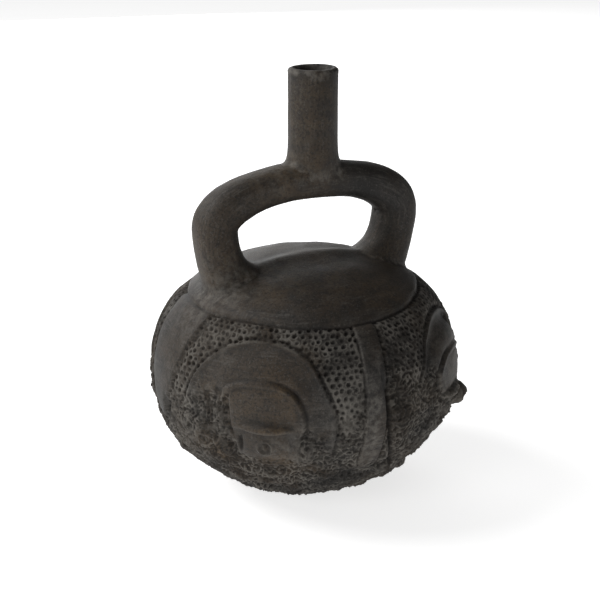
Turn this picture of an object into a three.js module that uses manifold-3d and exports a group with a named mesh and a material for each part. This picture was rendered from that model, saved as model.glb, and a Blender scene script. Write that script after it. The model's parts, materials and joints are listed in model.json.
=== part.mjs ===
// Stirrup spout vessel of smoked black earthenware, press-moulded and fired in one piece.
// Millimetres, +Z up. The origin is the middle of the flat worn spot that it stands on.
// The front faces -Y, and the stirrup stands over the X axis. The inside is one empty space.

import * as THREE from 'three';
import { mergeVertices } from 'three/addons/utils/BufferGeometryUtils.js';
import Module from 'manifold-3d';

const wasm = await Module();
wasm.setup();

// ---- Body: a dome over a bowl, measured at the ground of the moulded panels ----
const BODY_RADIUS = 76.7;
const WIDEST_Z = 56.5;
const DOME_RISE = 59.6;
const DOME_POWERS = [2.55, 2.15]; // how square the dome is, upwards and outwards
const BOWL_DROP = 60.5; // the flat spot cuts the bowl off 4 mm short of this
const BOWL_POWERS = [1.72, 2];
const WALL = 5.2;
const FLOOR = 6;
const BODY_SIDES = 44;
const BODY_ROWS = 16;
const LEAN = 0.026; // how far the damp clay leaned towards +X, per mm of height

// ---- Relief, as heights over the panel ground ----
const PLAIN_RAISE = 1; // shoulder, end strips, bands and head-dress discs
const CAP_RAISE = 2.2; // inner half-disc
const GROOVE = { z: 98.5, depth: 1.8, halfWidth: 1.1 }; // line cut round the shoulder
const STRIP = { topHalf: 17.5, middleHalf: 13, middleZ: 59, pointZ: 45 };
const BAND = { half: 4.8, footZ: 30 };
const DISC = { u: 0, z: 55.5, radius: 38, footZ: 41 };
const CAP = { u: 1.5, z: 55, radius: 22, footZ: 55 };
const SLIT = { depth: 3.2, halfWidth: 1.9 }; // deep groove beside each band
const COLLAR = {
  places: [[-23, 26, -3.8], [-14, 22.5, -1.2], [2, 20.5, -0.6], [14, 24, -1.2], [24, 31, -3.8]],
  radius: 2.8,
};

// ---- Where the relief faces, in degrees round from the front towards +X ----
const FRONT_AZIMUTH = 1.5;
const BACK_AZIMUTH = 180;
const PANEL_TURN = 44.5; // from a band to the middle of the panel beside it

// ---- Stirrup: the quarter of a squared ellipse on each side, on a rounder leg below ----
const STIRRUP_HALF_SPAN = 48.85;
const SHOULDER_Z = 134.5;
const ARCH_RISE = 19.6;
const ARCH_POWER = 2.12;
const LEG_DROP = 48;
const FOOT_Z = 105;
const LEG_RADIUS = 10.8;
const ARCH_RADIUS = 9.2;
const TUBE_DEPTH = 11.2; // radius across the stirrup's plane
const FOOT_FLARE = 4;
const FOOT_FADE = 5;
const PASSAGE_RADIUS = 5.4;

// ---- Spout ----
const SPOUT_X = 2.3; // it stands a little off the crown of the stirrup
const SPOUT_RADIUS = 12.1;
const SPOUT_TOP = 208.2;
const SPOUT_FLARE = 2;
const SPOUT_FADE = 2.6;
const BORE_RADIUS = 8.2;
const LIP_ROUND = 1.8;

const BLACKWARE = { color: 0x3c3834, roughness: 0.62, metalness: 0 };

// ---------------------------------------------------------------- solids

const degrees = THREE.MathUtils.degToRad;

/** Leans a geometry towards +X about the widest place, up to the crown of the stirrup. */
function leaned(geometry) {
  const position = geometry.attributes.position;
  for (let i = 0; i < position.count; i++) {
    const rise = Math.min(position.getZ(i), SHOULDER_Z + ARCH_RISE) - WIDEST_Z;
    position.setX(i, position.getX(i) + LEAN * rise);
  }
  return geometry;
}

/** A closed three.js geometry as a solid, without its needle-thin pole faces. */
function solid(geometry) {
  leaned(geometry).deleteAttribute('normal');
  geometry.deleteAttribute('uv');
  const merged = mergeVertices(geometry, 1e-4);
  const index = merged.index.array;
  const faces = [];
  for (let i = 0; i < index.length; i += 3) {
    const [a, b, c] = index.slice(i, i + 3);
    if (a !== b && b !== c && c !== a) faces.push(a, b, c);
  }
  const mesh = new wasm.Mesh({
    numProp: 3,
    vertProperties: new Float32Array(merged.attributes.position.array),
    triVerts: new Uint32Array(faces),
  });
  return new wasm.Manifold(mesh);
}

function joined(solids) {
  return solids.reduce((whole, next) => whole.add(next));
}

/** Turns a lathe or an extrusion drawn in XY so that its Y is up. */
function upright(geometry) {
  return geometry.rotateX(Math.PI / 2);
}

/** A shape seen from outside at an azimuth, pushed out from the axis through the wall. */
function facingPrism(shape, azimuth) {
  const options = { depth: 2 * BODY_RADIUS, bevelEnabled: false, curveSegments: 9 };
  return solid(upright(new THREE.ExtrudeGeometry(shape, options)).rotateZ(degrees(azimuth)));
}

// ---------------------------------------------------------------- body

/** Outer radius at a height, for a body grown by some millimetres. */
function surfaceRadius(z, grow) {
  const above = z > WIDEST_Z;
  const reach = (above ? DOME_RISE : BOWL_DROP) + grow;
  const [upPower, outPower] = above ? DOME_POWERS : BOWL_POWERS;
  const along = Math.min(Math.abs(z - WIDEST_Z) / reach, 1);
  return (BODY_RADIUS + grow) * (1 - along ** upPower) ** (1 / outPower);
}

/** Profile from the flat spot up to the crown, for a body grown by some millimetres. */
function bodyProfile(grow, bowlDrop, rows) {
  const lowest = Math.min(WIDEST_Z / bowlDrop, 1);
  const firstAngle = -Math.asin(lowest ** (BOWL_POWERS[0] / 2));
  const points = [];
  for (let row = 0; row < rows; row++) {
    const angle = THREE.MathUtils.lerp(firstAngle, Math.PI / 2, row / rows);
    const above = angle > 0;
    const [upPower, outPower] = above ? DOME_POWERS : BOWL_POWERS;
    const reach = above ? DOME_RISE + grow : -bowlDrop;
    const z = WIDEST_Z + reach * Math.abs(Math.sin(angle)) ** (2 / upPower);
    const r = (BODY_RADIUS + grow) * Math.cos(angle) ** (2 / outPower);
    points.push(new THREE.Vector2(r, z));
  }
  const floor = new THREE.Vector2(0, points[0].y);
  const crown = new THREE.Vector2(0, WIDEST_Z + DOME_RISE + grow);
  return [floor, ...points, crown];
}

function bodySolid(grow) {
  const profile = bodyProfile(grow, BOWL_DROP + grow, BODY_ROWS);
  return solid(upright(new THREE.LatheGeometry(profile, BODY_SIDES)));
}

function bodyCavity() {
  const profile = bodyProfile(-WALL, WIDEST_Z - FLOOR + 2.5, 10);
  profile[0].y = FLOOR;
  profile[1].y = FLOOR;
  return solid(upright(new THREE.LatheGeometry(profile, 24)));
}

/** The V-shaped line cut round the shoulder. */
function shoulderGroove() {
  const { z, depth, halfWidth } = GROOVE;
  const r = surfaceRadius(z, PLAIN_RAISE);
  const tip = new THREE.Vector2(r - depth * Math.SQRT1_2, z - depth * Math.SQRT1_2);
  const low = new THREE.Vector2(r + 2 + halfWidth, z + 2 - halfWidth);
  const high = new THREE.Vector2(r + 2 - halfWidth, z + 2 + halfWidth);
  const section = [tip, low, high, tip.clone()];
  return solid(upright(new THREE.LatheGeometry(section, BODY_SIDES)));
}

// ---------------------------------------------------------------- relief

/** The smooth tongue under a leg, narrowing downwards to a point. */
function stripShape() {
  const { topHalf, middleHalf, middleZ, pointZ } = STRIP;
  const shape = new THREE.Shape();
  shape.moveTo(0, pointZ);
  shape.quadraticCurveTo(middleHalf, middleZ, topHalf, GROOVE.z);
  shape.lineTo(-topHalf, GROOVE.z);
  shape.quadraticCurveTo(-middleHalf, middleZ, 0, pointZ);
  return shape;
}

function bandShape() {
  const { half, footZ } = BAND;
  const shape = new THREE.Shape();
  shape.moveTo(-half, footZ);
  shape.lineTo(half, footZ);
  shape.lineTo(half, GROOVE.z);
  shape.lineTo(-half, GROOVE.z);
  return shape;
}

/** A disc cut off flat below, at u across the panel. */
function discShape({ u, z, radius, footZ }, side) {
  const cut = Math.asin((footZ - z) / radius);
  return new THREE.Shape().absarc(side * u, z, radius, cut, Math.PI - cut);
}

function shoulderRegion() {
  const height = 40;
  const drum = new THREE.CylinderGeometry(BODY_RADIUS, BODY_RADIUS, height, 24);
  return solid(upright(drum).translate(0, 0, GROOVE.z + height / 2));
}

/** Each moulded panel: where it faces, and which way round its figure is. */
const panels = [FRONT_AZIMUTH, BACK_AZIMUTH].flatMap((middle) => [
  { azimuth: middle - PANEL_TURN, side: 1, front: middle === FRONT_AZIMUTH },
  { azimuth: middle + PANEL_TURN, side: -1, front: middle === FRONT_AZIMUTH },
]);

function plainAreas() {
  const strips = [90, -90].map((azimuth) => facingPrism(stripShape(), azimuth));
  const bands = [FRONT_AZIMUTH, BACK_AZIMUTH].map((azimuth) => facingPrism(bandShape(), azimuth));
  const discs = panels.map(({ azimuth, side }) => facingPrism(discShape(DISC, side), azimuth));
  return joined([shoulderRegion(), ...strips, ...bands, ...discs]);
}

function capAreas() {
  return joined(panels.map(({ azimuth, side }) => facingPrism(discShape(CAP, side), azimuth)));
}

/** The point over a panel at u across it, at height z, lifted off the ground. */
function onPanel({ azimuth, side }, u, z, lift) {
  const r = surfaceRadius(z, 0) + lift;
  const turn = degrees(azimuth) + side * Math.asin(u / r);
  return new THREE.Vector3(r * Math.sin(turn), -r * Math.cos(turn), z);
}

/** An egg-shaped lump, half sunk in the wall: its radii across, up and outwards. */
function lump(panel, [u, z], [across, up, out]) {
  const place = onPanel(panel, u, z, 0);
  const leanIn = Math.atan2(surfaceRadius(z - 1, 0) - surfaceRadius(z + 1, 0), 2);
  const ball = new THREE.SphereGeometry(1, 7, 5).scale(across, out, up).rotateX(-leanIn);
  ball.rotateZ(Math.atan2(place.x, -place.y));
  return solid(ball.translate(place.x, place.y, place.z));
}

/** A roll of clay that follows the surface through places of [u, z, lift]. */
function roll(panel, places, radius) {
  const points = places.map(([u, z, lift]) => onPanel(panel, u, z, lift));
  const section = new THREE.Shape().absarc(0, 0, radius, 0, 2 * Math.PI);
  const extrudePath = new THREE.CatmullRomCurve3(points);
  const options = { steps: 7, bevelEnabled: false, extrudePath, curveSegments: 3 };
  return solid(new THREE.ExtrudeGeometry(section, options));
}

/** The low worn figure under each head-dress: a face below its brow, and a collar. */
function figure(panel) {
  return [
    lump(panel, [2, 43], [14, 12, 3]),
    lump(panel, [5, 54.5], [12, 2.4, 3.8]),
    roll(panel, COLLAR.places, COLLAR.radius),
  ];
}

/** Worn lumps of clay on and beside the front figures. */
function sideLumps(panel) {
  return [
    lump(panel, [5.2, 49], [3.8, 3.4, 4.2]),
    lump(panel, [-17, 41], [6.5, 6, 3]),
    lump(panel, [-28, 45], [5.5, 8, 2.6]),
    lump(panel, [-24, 33], [8, 5, 2.8]),
    lump(panel, [19.5, 39], [5.5, 7, 2.8]),
  ];
}

/** Knobs that stand out on the right-hand front panel, and a swelling behind the left end. */
function knobs() {
  const [, frontRight, , backLeft] = panels;
  return [
    lump(frontRight, [-11.5, 48], [7, 6.5, 7.5]),
    lump(frontRight, [32, 26.5], [3.4, 3.2, 4.2]),
    lump(backLeft, [-28, 25], [17, 15, 2.6]),
  ];
}

/** The deep tapering groove beside a band, drifting off it towards the foot. */
function slit(middle) {
  const panel = { azimuth: middle, side: 1 };
  const places = [[3.4, 80], [4.2, 68], [6.4, 50], [9.5, 36], [14, 25]];
  const points = places.map(([u, z]) => onPanel(panel, u, z, 0.6));
  const section = new THREE.Shape();
  section.moveTo(SLIT.halfWidth, 0);
  section.lineTo(0, SLIT.depth);
  section.lineTo(-SLIT.halfWidth, 0);
  section.lineTo(0, -SLIT.depth);
  const extrudePath = new THREE.CatmullRomCurve3(points);
  return solid(new THREE.ExtrudeGeometry(section, { steps: 9, bevelEnabled: false, extrudePath }));
}

// ---------------------------------------------------------------- stirrup and spout

/** Middle line of the stirrup, or of its passage, from the -X foot over to the +X foot. */
function stirrupPath(footZ) {
  const half = [];
  for (let step = 0; step < 5; step++) {
    const z = THREE.MathUtils.lerp(footZ, SHOULDER_Z, step / 5);
    half.push([Math.sqrt(1 - ((SHOULDER_Z - z) / LEG_DROP) ** 2), z]);
  }
  for (let step = 0; step < 7; step++) {
    const angle = (Math.PI / 2) * (step / 7);
    const out = Math.cos(angle) ** (2 / ARCH_POWER);
    half.push([out, SHOULDER_Z + ARCH_RISE * Math.sin(angle) ** (2 / ARCH_POWER)]);
  }
  const side = (way) => half.map(([out, z]) => {
    return new THREE.Vector3(way * STIRRUP_HALF_SPAN * out, 0, z);
  });
  const crown = new THREE.Vector3(0, 0, SHOULDER_Z + ARCH_RISE);
  return new THREE.CatmullRomCurve3([...side(-1), crown, ...side(1).reverse()]);
}

/** How much wider a leg is where it spreads onto the dome. */
function footFlare({ z }) {
  return FOOT_FLARE * Math.exp(-Math.max(z - FOOT_Z - 3, 0) / FOOT_FADE);
}

/** Radius in the stirrup's own plane: thick legs, a thinner arch, and flared feet. */
function radiusInPlane(middle) {
  const legShare = THREE.MathUtils.smoothstep(Math.abs(middle.x), 20, 46);
  return THREE.MathUtils.lerp(ARCH_RADIUS, LEG_RADIUS, legShare) + footFlare(middle);
}

/** Radius across that plane, a little fuller under the spout. */
function radiusAcross(middle) {
  const crownShare = 1 - THREE.MathUtils.smoothstep(Math.abs(middle.x - SPOUT_X), 6, 22);
  return TUBE_DEPTH + footFlare(middle) + 0.9 * crownShare * (middle.z > SHOULDER_Z ? 1 : 0);
}

/** A tube of slightly square section along a path, its radii set place by place. */
function tube(path, steps, sides, inPlane, acrossPlane) {
  const section = new THREE.Shape();
  for (let side = 0; side < sides; side++) {
    const angle = (2 * Math.PI * (side + 0.5)) / sides;
    const reach = 1 - 0.03 * Math.cos(4 * angle);
    const [x, y] = [reach * Math.cos(angle), reach * Math.sin(angle)];
    if (side === 0) section.moveTo(x, y);
    else section.lineTo(x, y);
  }
  const options = { steps, bevelEnabled: false, extrudePath: path };
  const geometry = new THREE.ExtrudeGeometry(section, options);
  const middles = path.getSpacedPoints(steps);
  const position = geometry.attributes.position;
  const vertex = new THREE.Vector3();
  for (let i = 0; i < position.count; i++) {
    vertex.fromBufferAttribute(position, i);
    const distances = middles.map((place) => place.distanceToSquared(vertex));
    const middle = middles[distances.indexOf(Math.min(...distances))];
    const radius = inPlane(middle);
    vertex.sub(middle).multiply(new THREE.Vector3(radius, acrossPlane(middle), radius)).add(middle);
    position.setXYZ(i, vertex.x, vertex.y, vertex.z);
  }
  return solid(geometry);
}

function stirrupSolid() {
  return tube(stirrupPath(FOOT_Z - 6), 36, 12, radiusInPlane, radiusAcross);
}

function stirrupPassage() {
  const radius = () => PASSAGE_RADIUS;
  return tube(stirrupPath(FOOT_Z - 16), 22, 6, radius, radius);
}

/** Straight neck on the crown of the stirrup, spread below and rounded at the lip. */
function spoutSolid() {
  const crownZ = SHOULDER_Z + ARCH_RISE;
  const spreadZ = crownZ + ARCH_RADIUS - 0.5;
  const profile = [
    new THREE.Vector2(0, crownZ - 4),
    new THREE.Vector2(9, crownZ - 3),
    new THREE.Vector2(SPOUT_RADIUS - 0.5, crownZ + 1),
    new THREE.Vector2(SPOUT_RADIUS + SPOUT_FLARE, crownZ + 5.5),
  ];
  for (const rise of [0, 1.5, 3.5, 7]) {
    const flare = SPOUT_FLARE * Math.exp(-rise / SPOUT_FADE);
    profile.push(new THREE.Vector2(SPOUT_RADIUS + flare, spreadZ + rise));
  }
  for (const turn of [0, 30, 60, 90]) {
    const r = SPOUT_RADIUS + 0.2 - LIP_ROUND + LIP_ROUND * Math.cos(degrees(turn));
    const z = SPOUT_TOP - LIP_ROUND + LIP_ROUND * Math.sin(degrees(turn));
    profile.push(new THREE.Vector2(r, z));
  }
  profile.push(new THREE.Vector2(0, SPOUT_TOP));
  const neck = upright(new THREE.LatheGeometry(profile, 20));
  return solid(spreadAlongX(neck, SPOUT_RADIUS).translate(SPOUT_X, 0, 0));
}

/** Holds a round neck to a radius across the stirrup, where its foot spreads wider along it. */
function spreadAlongX(geometry, radius) {
  const position = geometry.attributes.position;
  for (let i = 0; i < position.count; i++) {
    const reach = Math.hypot(position.getX(i), position.getY(i));
    position.setY(i, position.getY(i) * Math.min(radius / Math.max(reach, 1), 1));
  }
  return geometry;
}

/** The bore, from the stirrup's passage out through a slightly opened mouth. */
function spoutBore() {
  const profile = [
    new THREE.Vector2(0, SHOULDER_Z + ARCH_RISE),
    new THREE.Vector2(BORE_RADIUS - 2, SHOULDER_Z + ARCH_RISE),
    new THREE.Vector2(BORE_RADIUS, SHOULDER_Z + ARCH_RISE + 8),
    new THREE.Vector2(BORE_RADIUS, SPOUT_TOP - 1.5),
    new THREE.Vector2(BORE_RADIUS + 1.5, SPOUT_TOP + 0.3),
    new THREE.Vector2(0, SPOUT_TOP + 0.3),
  ];
  return solid(upright(new THREE.LatheGeometry(profile, 14)).translate(SPOUT_X, 0, 0));
}

// ---------------------------------------------------------------- vessel

function vesselOutside() {
  const plain = bodySolid(PLAIN_RAISE).intersect(plainAreas());
  const caps = bodySolid(CAP_RAISE).intersect(capAreas());
  const figures = panels.flatMap((panel) => figure(panel));
  const lumps = panels.filter(({ front }) => front).flatMap((panel) => sideLumps(panel));
  const moulded = joined([bodySolid(0), plain, caps, ...figures, ...lumps, ...knobs()]);
  const cuts = joined([shoulderGroove(), slit(FRONT_AZIMUTH), slit(BACK_AZIMUTH)]);
  return joined([moulded.subtract(cuts), stirrupSolid(), spoutSolid()]);
}

function vesselInside() {
  return joined([bodyCavity(), stirrupPassage(), spoutBore()]);
}

function asMesh(name, shape, finish) {
  const { vertProperties, triVerts } = shape.getMesh();
  const geometry = new THREE.BufferGeometry();
  geometry.setAttribute('position', new THREE.BufferAttribute(new Float32Array(vertProperties), 3));
  geometry.setIndex(new THREE.BufferAttribute(new Uint32Array(triVerts), 1));
  geometry.computeVertexNormals();
  const mesh = new THREE.Mesh(geometry, new THREE.MeshStandardMaterial(finish));
  mesh.name = name;
  return mesh;
}

const vessel = new THREE.Group();
vessel.add(asMesh('vessel', vesselOutside().subtract(vesselInside()), BLACKWARE));

export default vessel;
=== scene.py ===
# %% [markdown]
# # A stirrup spout vessel of smoked black earthenware
#
# The real vessel is one fired piece: a round body pressed in a two-part mould, a hollow
# stirrup bent from a rolled tube, and a straight spout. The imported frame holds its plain
# solid. This lesson builds the finely shaped and coloured surface that stands for it.

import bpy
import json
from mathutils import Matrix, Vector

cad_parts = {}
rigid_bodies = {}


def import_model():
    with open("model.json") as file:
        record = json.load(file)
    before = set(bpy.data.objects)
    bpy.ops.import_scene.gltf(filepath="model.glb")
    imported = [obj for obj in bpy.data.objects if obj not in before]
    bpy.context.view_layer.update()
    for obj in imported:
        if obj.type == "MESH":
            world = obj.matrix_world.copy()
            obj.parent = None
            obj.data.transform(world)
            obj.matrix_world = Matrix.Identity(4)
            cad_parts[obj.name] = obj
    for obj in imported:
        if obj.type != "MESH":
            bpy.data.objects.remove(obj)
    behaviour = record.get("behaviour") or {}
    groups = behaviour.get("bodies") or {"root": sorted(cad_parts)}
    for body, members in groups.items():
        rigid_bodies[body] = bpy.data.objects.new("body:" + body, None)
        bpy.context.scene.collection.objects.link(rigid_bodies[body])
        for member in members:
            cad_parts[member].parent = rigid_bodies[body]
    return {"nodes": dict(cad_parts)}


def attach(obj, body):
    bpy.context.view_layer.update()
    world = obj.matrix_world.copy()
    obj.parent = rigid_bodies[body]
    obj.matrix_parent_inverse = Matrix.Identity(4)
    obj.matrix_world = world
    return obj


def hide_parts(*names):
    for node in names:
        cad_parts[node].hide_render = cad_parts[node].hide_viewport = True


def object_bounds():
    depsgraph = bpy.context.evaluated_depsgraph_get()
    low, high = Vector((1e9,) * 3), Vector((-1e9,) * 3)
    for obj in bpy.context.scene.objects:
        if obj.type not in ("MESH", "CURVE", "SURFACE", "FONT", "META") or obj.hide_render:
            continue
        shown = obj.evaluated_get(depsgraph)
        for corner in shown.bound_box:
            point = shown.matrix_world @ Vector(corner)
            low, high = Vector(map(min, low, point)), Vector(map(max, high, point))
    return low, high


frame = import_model()
cad_low, cad_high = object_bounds()
print("frame nodes:", sorted(frame["nodes"]))
print("frame box:", cad_low, cad_high)

# %% Tools of the lesson
import json
import math

import bmesh
import bpy
import numpy as np
from mathutils import Matrix, Vector, noise

# %% [markdown]
# ## Sizes
#
# The named sizes are those of the solid, in metres. The front faces -Y, +Z is up, and the
# origin is the middle of the worn flat spot underneath. Directions round the body are in
# degrees from the front, and they grow towards +X.

# %% Sizes of the body
MM = 0.001
BODY_RADIUS = 76.7 * MM
WIDEST_Z = 56.5 * MM
DOME_RISE = 59.6 * MM
DOME_POWERS = (2.55, 2.15)
BOWL_DROP = 60.5 * MM
BOWL_POWERS = (1.72, 2.0)
WALL = 5.2 * MM
FLOOR = 6 * MM
LEAN = 0.026
CROWN_Z = WIDEST_Z + DOME_RISE


def surface_radius(z, grow=0.0):
    """Radius of the panel ground at each height, for a body grown by some amount."""
    above = z > WIDEST_Z
    reach = np.where(above, DOME_RISE, BOWL_DROP) + grow
    up_power = np.where(above, DOME_POWERS[0], BOWL_POWERS[0])
    out_power = np.where(above, DOME_POWERS[1], BOWL_POWERS[1])
    along = np.minimum(np.abs(z - WIDEST_Z) / reach, 1)
    return (BODY_RADIUS + grow) * (1 - along ** up_power) ** (1 / out_power)


print("radius at the widest place:", float(surface_radius(np.array(WIDEST_Z))))

# %% Sizes of the stirrup and the spout
STIRRUP_HALF_SPAN = 48.85 * MM
SHOULDER_Z = 134.5 * MM
ARCH_RISE = 19.6 * MM
ARCH_POWER = 2.12
LEG_DROP = 48 * MM
FOOT_Z = 105 * MM
LINE_FOOT_Z = FOOT_Z - 6 * MM
LEG_RADIUS = 10.8 * MM
ARCH_RADIUS = 9.2 * MM
TUBE_DEPTH = 11.2 * MM
FOOT_FLARE = 4 * MM
FOOT_FADE = 5 * MM
PASSAGE_RADIUS = 5.4 * MM
SPOUT_X = 2.3 * MM
SPOUT_RADIUS = 12.1 * MM
SPOUT_TOP = 208.2 * MM
SPOUT_FLARE = 2 * MM
SPOUT_FADE = 2.6 * MM
BORE_RADIUS = 8.2 * MM
LIP_ROUND = 1.8 * MM
ARCH_TOP_Z = SHOULDER_Z + ARCH_RISE
print("height of the crown of the stirrup:", ARCH_TOP_Z)

# %% [markdown]
# ## Small helpers
#
# A bmesh is Blender's editable mesh. Each form is made in one and written to an object.
# Thousands of small moves are quicker on numpy arrays, so one pair of helpers reads and writes
# all the vertex places of a mesh at once.

# %% Helpers for meshes
def object_from(bm, name):
    """Writes a bmesh to a new object at the origin."""
    mesh = bpy.data.meshes.new(name)
    bm.to_mesh(mesh)
    bm.free()
    piece = bpy.data.objects.new(name, mesh)
    bpy.context.scene.collection.objects.link(piece)
    return piece


def places_of(mesh):
    places = np.empty(len(mesh.vertices) * 3)
    mesh.vertices.foreach_get("co", places)
    return places.reshape(-1, 3)


def normals_of(mesh):
    normals = np.empty(len(mesh.vertices) * 3)
    mesh.vertices.foreach_get("normal", normals)
    return normals.reshape(-1, 3)


def move_to(mesh, places):
    mesh.vertices.foreach_set("co", places.ravel())
    mesh.update()


def apply_modifiers(piece):
    """Turns the modified shape into the piece's own mesh."""
    shown = piece.evaluated_get(bpy.context.evaluated_depsgraph_get())
    mesh = bpy.data.meshes.new_from_object(shown)
    piece.modifiers.clear()
    piece.data = mesh


def combine(piece, tools, operation):
    """Joins the tools to a piece, or takes them away from it, with exact Booleans."""
    for tool in tools:
        step = piece.modifiers.new("combine " + tool.name, "BOOLEAN")
        step.operation = operation
        step.solver = "MANIFOLD"
        step.object = tool
    apply_modifiers(piece)


def triangles_of(mesh):
    return sum(len(face.vertices) - 2 for face in mesh.polygons)


# %% Helpers for soft shapes
def soft_step(distance, width):
    """0 outside an edge and 1 inside it, with a soft slope of this width."""
    along = np.clip(distance / width + 0.5, 0, 1)
    return along * along * (3 - 2 * along)


def bell(distance, half_width):
    return np.exp(-((distance / half_width) ** 2))


def clay_noise(places, size, seed):
    """Smooth noise from -1 to 1 in lumps of about this size."""
    shift = Vector((7.3 * seed, 3.1 * seed, 5.7 * seed))
    return np.array([noise.noise(Vector(place) + shift) for place in places / size])


# %% [markdown]
# ## The body
#
# A potter's mould gives a round body, so it starts as one outline of points that is spun
# round the upright axis. The rows are closer where the moulded relief will be. Spinning
# keeps rows and columns in order, which suits fine relief better than a remeshed ball.

# %% Outline of the body
ROW_STEP = 0.62 * MM
PLAIN_ROW_STEP = 1.1 * MM


def body_outline():
    """Radius and height of each row, from the edge of the flat spot up to the crown."""
    lowest = -math.asin((WIDEST_Z / BOWL_DROP) ** (BOWL_POWERS[0] / 2))
    angle = np.linspace(lowest, math.pi / 2, 6000)
    above = angle > 0
    reach = np.where(above, DOME_RISE, -BOWL_DROP)
    up_power = np.where(above, DOME_POWERS[0], BOWL_POWERS[0])
    out_power = np.where(above, DOME_POWERS[1], BOWL_POWERS[1])
    z = WIDEST_Z + reach * np.abs(np.sin(angle)) ** (2 / up_power)
    r = BODY_RADIUS * np.clip(np.cos(angle), 0, 1) ** (2 / out_power)
    z[0] = 0
    length = np.concatenate([[0], np.cumsum(np.hypot(np.diff(r), np.diff(z)))])
    step = np.where((z > 12 * MM) & (z < 101 * MM), ROW_STEP, PLAIN_ROW_STEP)
    count = np.concatenate([[0], np.cumsum(np.diff(length) / step[1:])])
    rows = np.linspace(0, count[-1], int(count[-1]) + 1)
    return np.interp(rows, count, r), np.interp(rows, count, z), length, z


outline_r, outline_z, meridian_length, meridian_z = body_outline()
print("rows of the body:", len(outline_z), "length of its outline:", meridian_length[-1])

# %% Spin the outline
SECTORS = 32
SECTOR_STEPS = 27


def spin_by_doubling(bm, chain, edges):
    """Spins one narrow sector and then doubles it, which is far quicker than one long spin."""
    sector = 2 * math.pi / SECTORS
    bmesh.ops.spin(
        bm, geom=chain + edges, cent=(0, 0, 0), axis=(0, 0, 1),
        angle=sector, steps=SECTOR_STEPS, use_merge=False,
    )
    for doubling in range(int(math.log2(SECTORS))):
        everything = bm.verts[:] + bm.edges[:] + bm.faces[:]
        copy = bmesh.ops.duplicate(bm, geom=everything)["geom"]
        bmesh.ops.rotate(
            bm, verts=[part for part in copy if isinstance(part, bmesh.types.BMVert)],
            cent=(0, 0, 0), matrix=Matrix.Rotation(sector * 2 ** doubling, 3, "Z"),
        )
    bmesh.ops.remove_doubles(bm, verts=bm.verts, dist=0.5e-6)
    bmesh.ops.recalc_face_normals(bm, faces=bm.faces)


body_bm = bmesh.new()
flat_radii = np.linspace(0, outline_r[0], 5)[:-1]
chain = [body_bm.verts.new((0, -r, 0)) for r in flat_radii]
chain += [body_bm.verts.new((0, -r, z)) for r, z in zip(outline_r, outline_z)]
edges = [body_bm.edges.new(pair) for pair in zip(chain, chain[1:])]
spin_by_doubling(body_bm, chain, edges)
body = object_from(body_bm, "vessel_skin")
print("faces of the spun body:", len(body.data.polygons))

# %% [markdown]
# ## The moulded relief
#
# The relief is a map of heights over the body. Four panels stand between two upright bands
# and two smooth end strips. Each panel has its own sideways measure u, which is mirrored on
# every second panel, so one set of features makes all four.

# %% Where the panels are
PLAIN_RAISE = 1.0 * MM
CAP_RAISE = 2.2 * MM
GROOVE_Z = 98.5 * MM
FRONT, BACK = 1.5, 180.0
PANEL_TURN = 44.5
FRONT_LEFT, FRONT_RIGHT, BACK_RIGHT, BACK_LEFT = range(4)
FACINGS = np.array([FRONT - PANEL_TURN, FRONT + PANEL_TURN, BACK - PANEL_TURN, BACK + PANEL_TURN])
SIDES = np.array([1, -1, 1, -1])


def turn_from(turn, facing):
    """Degrees from a facing direction, from -180 to 180."""
    return (turn - facing + 180) % 360 - 180


def across(turn, z, facing):
    """Distance sideways from a facing direction, far outside where it faces away."""
    gap = np.radians(turn_from(turn, facing))
    return np.where(np.cos(gap) > 0, surface_radius(z) * np.sin(gap), 1.0)


def panel_place(turn, z):
    """The nearest panel, its u, and the arc length across it."""
    gaps = np.array([turn_from(turn, facing) for facing in FACINGS])
    panel = np.abs(gaps).argmin(axis=0)
    gap = np.radians(gaps[panel, np.arange(len(turn))]) * SIDES[panel]
    return panel, surface_radius(z) * np.sin(gap), surface_radius(z) * gap


def slope_length(z):
    """Distance along the outline, so that shapes keep their size where the body curves in."""
    return np.interp(z, meridian_z, meridian_length)


print("panels face:", FACINGS % 360)

# %% [markdown]
# ### Shoulder line, end strips and bands
#
# A line was cut round the shoulder after moulding. Below it the plain strips and bands
# stand about a millimetre above the stippled ground. Each is a soft step at its edge, and
# the highest step wins, which joins them without seams.

# %% Plain areas
STRIP_TOP_HALF = 17.5 * MM
STRIP_MIDDLE_HALF = 13 * MM
STRIP_MIDDLE_Z = 59 * MM
STRIP_POINT_Z = 45 * MM
BAND_HALF = 5.0 * MM
BAND_DRIFT = 2.0
BAND_FOOT_Z = 34 * MM

curve = np.linspace(0, 1, 60)
strip_z = (1 - curve) ** 2 * STRIP_POINT_Z + 2 * curve * (1 - curve) * STRIP_MIDDLE_Z
strip_z += curve ** 2 * GROOVE_Z
strip_half = 2 * curve * (1 - curve) * STRIP_MIDDLE_HALF + curve ** 2 * STRIP_TOP_HALF

GROOVE_TURNS = [-180, -110, -73, -52, -33, -9, 6, 27, 41, 57, 90, 130, 180]
GROOVE_LIFT = np.array([0.8, 0.8, 0.6, 1.1, 0.3, 0, 0.5, 1.7, 2.7, 3.5, 2.6, 1.2, 0.8]) * MM


def groove_height(turn):
    """The line was cut by hand and wanders a few millimetres."""
    return GROOVE_Z + np.interp(turn, GROOVE_TURNS, GROOVE_LIFT)


def inside_strip(turn, z):
    half = np.interp(z, strip_z, strip_half) - np.maximum(STRIP_POINT_Z - z, 0) * 0.7
    return half - np.minimum(np.abs(across(turn, z, 90)), np.abs(across(turn, z, -90)))


def inside_band(turn, z):
    front, back = across(turn, z, FRONT - BAND_DRIFT), across(turn, z, BACK)
    sideways = np.minimum(np.abs(front), np.abs(back))
    return np.minimum(BAND_HALF - sideways, 0.12 * (z - BAND_FOOT_Z))


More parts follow.
